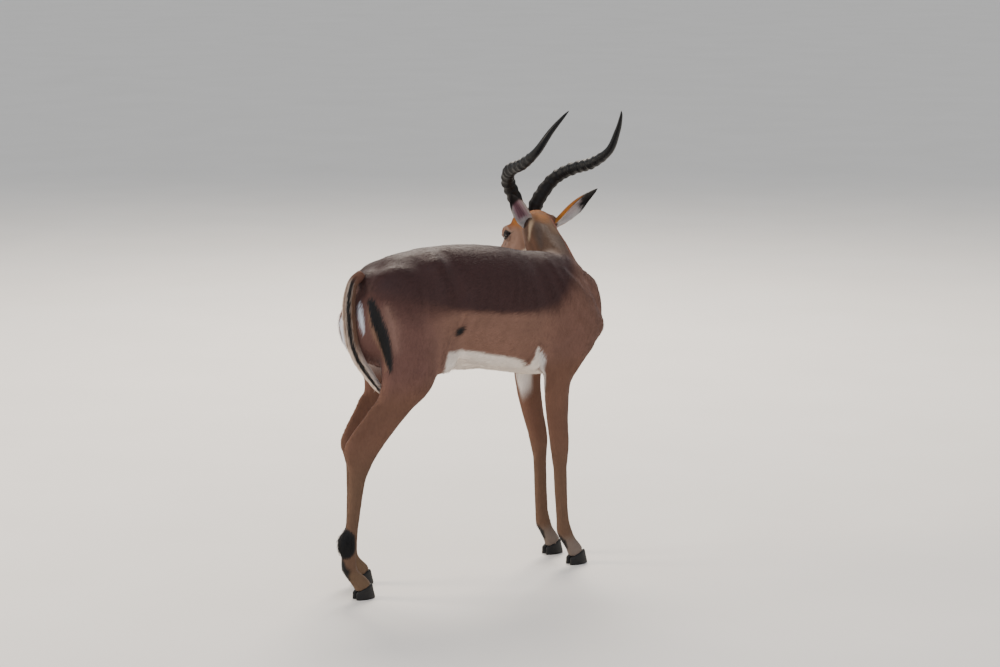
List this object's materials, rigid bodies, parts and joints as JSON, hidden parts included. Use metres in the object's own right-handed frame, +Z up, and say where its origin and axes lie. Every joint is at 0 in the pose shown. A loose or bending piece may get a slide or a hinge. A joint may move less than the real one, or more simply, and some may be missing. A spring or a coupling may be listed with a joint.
{
  "type": "impala antelope ram",
  "caption": "Life-size standing antelope ram with ridged lyre-shaped horns, its neck bent round to its left, on four cloven hooves.",
  "frame": {"origin": "centre of the bounding box, at the level of the hooves' soles", "axes": "+X the way the trunk faces, +Y to the animal's left, +Z up"},
  "size_m": [1.0064, 0.5786, 1.2733],
  "materials": {
    "coat": "short sleek hair, red-brown over tan",
    "tail": "long white hair with a black stripe",
    "ear": "short hair outside, pale hair inside",
    "horn": "ridged dark horn",
    "hoof": "black hoof horn",
    "eye": "wet and dark"
  },
  "bodies": {
    "root": {"ear_left": "ear", "ear_right": "ear", "eye_left": "eye", "eye_right": "eye", "fore_hoof_left_inner": "hoof", "fore_hoof_left_outer": "hoof", "fore_hoof_right_inner": "hoof", "fore_hoof_right_outer": "hoof", "fore_leg_left": "coat", "fore_leg_right": "coat", "head": "coat", "hind_hoof_left_inner": "hoof", "hind_hoof_left_outer": "hoof", "hind_hoof_right_inner": "hoof", "hind_hoof_right_outer": "hoof", "hind_leg_left": "coat", "hind_leg_right": "coat", "horn_left": "horn", "horn_right": "horn", "neck": "coat", "tail": "tail", "trunk": "coat"}
  },
  "joints": []
}
